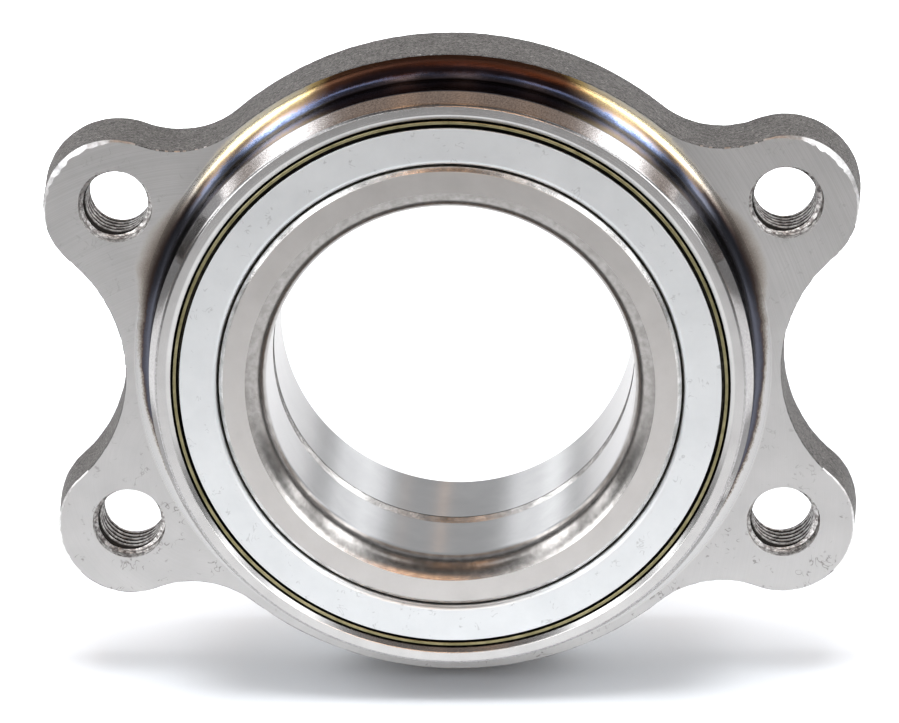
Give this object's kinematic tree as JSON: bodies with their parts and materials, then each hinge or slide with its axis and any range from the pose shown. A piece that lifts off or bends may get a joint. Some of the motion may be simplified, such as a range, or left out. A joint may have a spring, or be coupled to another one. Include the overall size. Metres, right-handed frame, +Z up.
{
  "type": "flanged wheel bearing unit",
  "caption": "Flanged wheel bearing unit: forged eared flange on the outer ring, split inner rings with a plain bore, caged ball rows and sealed ends.",
  "frame": {"origin": "middle of the bearing on its axis, at the joint of the two inner rings", "axes": "+Y along the bearing axis from the pilot boss side to the rear, +X across the wider hole spacing, +Z up"},
  "size_m": [0.1366, 0.039, 0.1112],
  "materials": {
    "forged_steel": "machined face, forged edge",
    "ground_steel": "ground",
    "ball_steel": "lapped",
    "cage_nylon": "moulded",
    "stainless_sheet": "pressed sheet",
    "case_sheet": "phosphated sheet",
    "seal_rubber": "moulded",
    "encoder_rubber": "moulded, magnetised"
  },
  "bodies": {
    "flange": {"outer_ring": "forged_steel", "seal_case_front": "case_sheet", "seal_lip_front": "seal_rubber", "seal_case_rear": "case_sheet", "seal_lip_rear": "seal_rubber"},
    "hub_rings": {"inner_ring_front": "ground_steel", "inner_ring_rear": "ground_steel", "seal_slinger_front": "stainless_sheet", "seal_slinger_rear": "stainless_sheet", "encoder_ring": "encoder_rubber"},
    "cage_set_front": {"cage_front": "cage_nylon"},
    "cage_set_rear": {"cage_rear": "cage_nylon"},
    "ball_front_01": {"ball_front_01": "ball_steel"},
    "ball_front_02": {"ball_front_02": "ball_steel"},
    "ball_front_03": {"ball_front_03": "ball_steel"},
    "ball_front_04": {"ball_front_04": "ball_steel"},
    "ball_front_05": {"ball_front_05": "ball_steel"},
    "ball_front_06": {"ball_front_06": "ball_steel"},
    "ball_front_07": {"ball_front_07": "ball_steel"},
    "ball_front_08": {"ball_front_08": "ball_steel"},
    "ball_front_09": {"ball_front_09": "ball_steel"},
    "ball_front_10": {"ball_front_10": "ball_steel"},
    "ball_front_11": {"ball_front_11": "ball_steel"},
    "ball_front_12": {"ball_front_12": "ball_steel"},
    "ball_front_13": {"ball_front_13": "ball_steel"},
    "ball_front_14": {"ball_front_14": "ball_steel"},
    "ball_front_15": {"ball_front_15": "ball_steel"},
    "ball_front_16": {"ball_front_16": "ball_steel"},
    "ball_front_17": {"ball_front_17": "ball_steel"},
    "ball_front_18": {"ball_front_18": "ball_steel"},
    "ball_rear_01": {"ball_rear_01": "ball_steel"},
    "ball_rear_02": {"ball_rear_02": "ball_steel"},
    "ball_rear_03": {"ball_rear_03": "ball_steel"},
    "ball_rear_04": {"ball_rear_04": "ball_steel"},
    "ball_rear_05": {"ball_rear_05": "ball_steel"},
    "ball_rear_06": {"ball_rear_06": "ball_steel"},
    "ball_rear_07": {"ball_rear_07": "ball_steel"},
    "ball_rear_08": {"ball_rear_08": "ball_steel"},
    "ball_rear_09": {"ball_rear_09": "ball_steel"},
    "ball_rear_10": {"ball_rear_10": "ball_steel"},
    "ball_rear_11": {"ball_rear_11": "ball_steel"},
    "ball_rear_12": {"ball_rear_12": "ball_steel"},
    "ball_rear_13": {"ball_rear_13": "ball_steel"},
    "ball_rear_14": {"ball_rear_14": "ball_steel"},
    "ball_rear_15": {"ball_rear_15": "ball_steel"},
    "ball_rear_16": {"ball_rear_16": "ball_steel"},
    "ball_rear_17": {"ball_rear_17": "ball_steel"},
    "ball_rear_18": {"ball_rear_18": "ball_steel"}
  },
  "joints": [
    {"name": "hub_spin", "type": "hinge", "parent": "flange", "child": "hub_rings", "pos_m": [0, 0, 0], "axis": [0, 1, 0], "continuous": true},
    {"name": "cage_front_orbit", "type": "hinge", "parent": "flange", "child": "cage_set_front", "pos_m": [0, -0.0082, 0], "axis": [0, 1, 0], "continuous": true},
    {"name": "cage_rear_orbit", "type": "hinge", "parent": "flange", "child": "cage_set_rear", "pos_m": [0, 0.0082, 0], "axis": [0, 1, 0], "continuous": true},
    {"name": "ball_front_01_roll", "type": "hinge", "parent": "cage_set_front", "child": "ball_front_01", "pos_m": [0, -0.0082, 0.04006], "axis": [0, 0.809, -0.5878], "continuous": true},
    {"name": "ball_front_02_roll", "type": "hinge", "parent": "cage_set_front", "child": "ball_front_02", "pos_m": [-0.0137, -0.0082, 0.03764], "axis": [0.201, 0.809, -0.5523], "continuous": true},
    {"name": "ball_front_03_roll", "type": "hinge", "parent": "cage_set_front", "child": "ball_front_03", "pos_m": [-0.02575, -0.0082, 0.03068], "axis": [0.3778, 0.809, -0.4503], "continuous": true},
    {"name": "ball_front_04_roll", "type": "hinge", "parent": "cage_set_front", "child": "ball_front_04", "pos_m": [-0.03469, -0.0082, 0.02003], "axis": [0.509, 0.809, -0.2939], "continuous": true},
    {"name": "ball_front_05_roll", "type": "hinge", "parent": "cage_set_front", "child": "ball_front_05", "pos_m": [-0.03945, -0.0082, 0.00696], "axis": [0.5789, 0.809, -0.1021], "continuous": true},
    {"name": "ball_front_06_roll", "type": "hinge", "parent": "cage_set_front", "child": "ball_front_06", "pos_m": [-0.03945, -0.0082, -0.00696], "axis": [0.5789, 0.809, 0.1021], "continuous": true},
    {"name": "ball_front_07_roll", "type": "hinge", "parent": "cage_set_front", "child": "ball_front_07", "pos_m": [-0.03469, -0.0082, -0.02003], "axis": [0.509, 0.809, 0.2939], "continuous": true},
    {"name": "ball_front_08_roll", "type": "hinge", "parent": "cage_set_front", "child": "ball_front_08", "pos_m": [-0.02575, -0.0082, -0.03068], "axis": [0.3778, 0.809, 0.4503], "continuous": true},
    {"name": "ball_front_09_roll", "type": "hinge", "parent": "cage_set_front", "child": "ball_front_09", "pos_m": [-0.0137, -0.0082, -0.03764], "axis": [0.201, 0.809, 0.5523], "continuous": true},
    {"name": "ball_front_10_roll", "type": "hinge", "parent": "cage_set_front", "child": "ball_front_10", "pos_m": [0, -0.0082, -0.04006], "axis": [0, 0.809, 0.5878], "continuous": true},
    {"name": "ball_front_11_roll", "type": "hinge", "parent": "cage_set_front", "child": "ball_front_11", "pos_m": [0.0137, -0.0082, -0.03764], "axis": [-0.201, 0.809, 0.5523], "continuous": true},
    {"name": "ball_front_12_roll", "type": "hinge", "parent": "cage_set_front", "child": "ball_front_12", "pos_m": [0.02575, -0.0082, -0.03068], "axis": [-0.3778, 0.809, 0.4503], "continuous": true},
    {"name": "ball_front_13_roll", "type": "hinge", "parent": "cage_set_front", "child": "ball_front_13", "pos_m": [0.03469, -0.0082, -0.02003], "axis": [-0.509, 0.809, 0.2939], "continuous": true},
    {"name": "ball_front_14_roll", "type": "hinge", "parent": "cage_set_front", "child": "ball_front_14", "pos_m": [0.03945, -0.0082, -0.00696], "axis": [-0.5789, 0.809, 0.1021], "continuous": true},
    {"name": "ball_front_15_roll", "type": "hinge", "parent": "cage_set_front", "child": "ball_front_15", "pos_m": [0.03945, -0.0082, 0.00696], "axis": [-0.5789, 0.809, -0.1021], "continuous": true},
    {"name": "ball_front_16_roll", "type": "hinge", "parent": "cage_set_front", "child": "ball_front_16", "pos_m": [0.03469, -0.0082, 0.02003], "axis": [-0.509, 0.809, -0.2939], "continuous": true},
    {"name": "ball_front_17_roll", "type": "hinge", "parent": "cage_set_front", "child": "ball_front_17", "pos_m": [0.02575, -0.0082, 0.03068], "axis": [-0.3778, 0.809, -0.4503], "continuous": true},
    {"name": "ball_front_18_roll", "type": "hinge", "parent": "cage_set_front", "child": "ball_front_18", "pos_m": [0.0137, -0.0082, 0.03764], "axis": [-0.201, 0.809, -0.5523], "continuous": true},
    {"name": "ball_rear_01_roll", "type": "hinge", "parent": "cage_set_rear", "child": "ball_rear_01", "pos_m": [-0.00696, 0.0082, 0.03945], "axis": [-0.1021, 0.809, 0.5789], "continuous": true},
    {"name": "ball_rear_02_roll", "type": "hinge", "parent": "cage_set_rear", "child": "ball_rear_02", "pos_m": [-0.02003, 0.0082, 0.03469], "axis": [-0.2939, 0.809, 0.509], "continuous": true},
    {"name": "ball_rear_03_roll", "type": "hinge", "parent": "cage_set_rear", "child": "ball_rear_03", "pos_m": [-0.03068, 0.0082, 0.02575], "axis": [-0.4503, 0.809, 0.3778], "continuous": true},
    {"name": "ball_rear_04_roll", "type": "hinge", "parent": "cage_set_rear", "child": "ball_rear_04", "pos_m": [-0.03764, 0.0082, 0.0137], "axis": [-0.5523, 0.809, 0.201], "continuous": true},
    {"name": "ball_rear_05_roll", "type": "hinge", "parent": "cage_set_rear", "child": "ball_rear_05", "pos_m": [-0.04006, 0.0082, 0], "axis": [-0.5878, 0.809, 0], "continuous": true},
    {"name": "ball_rear_06_roll", "type": "hinge", "parent": "cage_set_rear", "child": "ball_rear_06", "pos_m": [-0.03764, 0.0082, -0.0137], "axis": [-0.5523, 0.809, -0.201], "continuous": true},
    {"name": "ball_rear_07_roll", "type": "hinge", "parent": "cage_set_rear", "child": "ball_rear_07", "pos_m": [-0.03068, 0.0082, -0.02575], "axis": [-0.4503, 0.809, -0.3778], "continuous": true},
    {"name": "ball_rear_08_roll", "type": "hinge", "parent": "cage_set_rear", "child": "ball_rear_08", "pos_m": [-0.02003, 0.0082, -0.03469], "axis": [-0.2939, 0.809, -0.509], "continuous": true},
    {"name": "ball_rear_09_roll", "type": "hinge", "parent": "cage_set_rear", "child": "ball_rear_09", "pos_m": [-0.00696, 0.0082, -0.03945], "axis": [-0.1021, 0.809, -0.5789], "continuous": true},
    {"name": "ball_rear_10_roll", "type": "hinge", "parent": "cage_set_rear", "child": "ball_rear_10", "pos_m": [0.00696, 0.0082, -0.03945], "axis": [0.1021, 0.809, -0.5789], "continuous": true},
    {"name": "ball_rear_11_roll", "type": "hinge", "parent": "cage_set_rear", "child": "ball_rear_11", "pos_m": [0.02003, 0.0082, -0.03469], "axis": [0.2939, 0.809, -0.509], "continuous": true},
    {"name": "ball_rear_12_roll", "type": "hinge", "parent": "cage_set_rear", "child": "ball_rear_12", "pos_m": [0.03068, 0.0082, -0.02575], "axis": [0.4503, 0.809, -0.3778], "continuous": true},
    {"name": "ball_rear_13_roll", "type": "hinge", "parent": "cage_set_rear", "child": "ball_rear_13", "pos_m": [0.03764, 0.0082, -0.0137], "axis": [0.5523, 0.809, -0.201], "continuous": true},
    {"name": "ball_rear_14_roll", "type": "hinge", "parent": "cage_set_rear", "child": "ball_rear_14", "pos_m": [0.04006, 0.0082, 0], "axis": [0.5878, 0.809, 0], "continuous": true},
    {"name": "ball_rear_15_roll", "type": "hinge", "parent": "cage_set_rear", "child": "ball_rear_15", "pos_m": [0.03764, 0.0082, 0.0137], "axis": [0.5523, 0.809, 0.201], "continuous": true},
    {"name": "ball_rear_16_roll", "type": "hinge", "parent": "cage_set_rear", "child": "ball_rear_16", "pos_m": [0.03068, 0.0082, 0.02575], "axis": [0.4503, 0.809, 0.3778], "continuous": true},
    {"name": "ball_rear_17_roll", "type": "hinge", "parent": "cage_set_rear", "child": "ball_rear_17", "pos_m": [0.02003, 0.0082, 0.03469], "axis": [0.2939, 0.809, 0.509], "continuous": true},
    {"name": "ball_rear_18_roll", "type": "hinge", "parent": "cage_set_rear", "child": "ball_rear_18", "pos_m": [0.00696, 0.0082, 0.03945], "axis": [0.1021, 0.809, 0.5789], "continuous": true}
  ],
  "couplings": [
    {"joint": "cage_front_orbit", "follows": "hub_spin", "ratio": 0.44389},
    {"joint": "cage_rear_orbit", "follows": "hub_spin", "ratio": 0.44389},
    {"joint": "ball_front_01_roll", "follows": "hub_spin", "ratio": -3.5594},
    {"joint": "ball_front_02_roll", "follows": "hub_spin", "ratio": -3.5594},
    {"joint": "ball_front_03_roll", "follows": "hub_spin", "ratio": -3.5594},
    {"joint": "ball_front_04_roll", "follows": "hub_spin", "ratio": -3.5594},
    {"joint": "ball_front_05_roll", "follows": "hub_spin", "ratio": -3.5594},
    {"joint": "ball_front_06_roll", "follows": "hub_spin", "ratio": -3.5594},
    {"joint": "ball_front_07_roll", "follows": "hub_spin", "ratio": -3.5594},
    {"joint": "ball_front_08_roll", "follows": "hub_spin", "ratio": -3.5594},
    {"joint": "ball_front_09_roll", "follows": "hub_spin", "ratio": -3.5594},
    {"joint": "ball_front_10_roll", "follows": "hub_spin", "ratio": -3.5594},
    {"joint": "ball_front_11_roll", "follows": "hub_spin", "ratio": -3.5594},
    {"joint": "ball_front_12_roll", "follows": "hub_spin", "ratio": -3.5594},
    {"joint": "ball_front_13_roll", "follows": "hub_spin", "ratio": -3.5594},
    {"joint": "ball_front_14_roll", "follows": "hub_spin", "ratio": -3.5594},
    {"joint": "ball_front_15_roll", "follows": "hub_spin", "ratio": -3.5594},
    {"joint": "ball_front_16_roll", "follows": "hub_spin", "ratio": -3.5594},
    {"joint": "ball_front_17_roll", "follows": "hub_spin", "ratio": -3.5594},
    {"joint": "ball_front_18_roll", "follows": "hub_spin", "ratio": -3.5594},
    {"joint": "ball_rear_01_roll", "follows": "hub_spin", "ratio": -3.5594},
    {"joint": "ball_rear_02_roll", "follows": "hub_spin", "ratio": -3.5594},
    {"joint": "ball_rear_03_roll", "follows": "hub_spin", "ratio": -3.5594},
    {"joint": "ball_rear_04_roll", "follows": "hub_spin", "ratio": -3.5594},
    {"joint": "ball_rear_05_roll", "follows": "hub_spin", "ratio": -3.5594},
    {"joint": "ball_rear_06_roll", "follows": "hub_spin", "ratio": -3.5594},
    {"joint": "ball_rear_07_roll", "follows": "hub_spin", "ratio": -3.5594},
    {"joint": "ball_rear_08_roll", "follows": "hub_spin", "ratio": -3.5594},
    {"joint": "ball_rear_09_roll", "follows": "hub_spin", "ratio": -3.5594},
    {"joint": "ball_rear_10_roll", "follows": "hub_spin", "ratio": -3.5594},
    {"joint": "ball_rear_11_roll", "follows": "hub_spin", "ratio": -3.5594},
    {"joint": "ball_rear_12_roll", "follows": "hub_spin", "ratio": -3.5594},
    {"joint": "ball_rear_13_roll", "follows": "hub_spin", "ratio": -3.5594},
    {"joint": "ball_rear_14_roll", "follows": "hub_spin", "ratio": -3.5594},
    {"joint": "ball_rear_15_roll", "follows": "hub_spin", "ratio": -3.5594},
    {"joint": "ball_rear_16_roll", "follows": "hub_spin", "ratio": -3.5594},
    {"joint": "ball_rear_17_roll", "follows": "hub_spin", "ratio": -3.5594},
    {"joint": "ball_rear_18_roll", "follows": "hub_spin", "ratio": -3.5594}
  ]
}
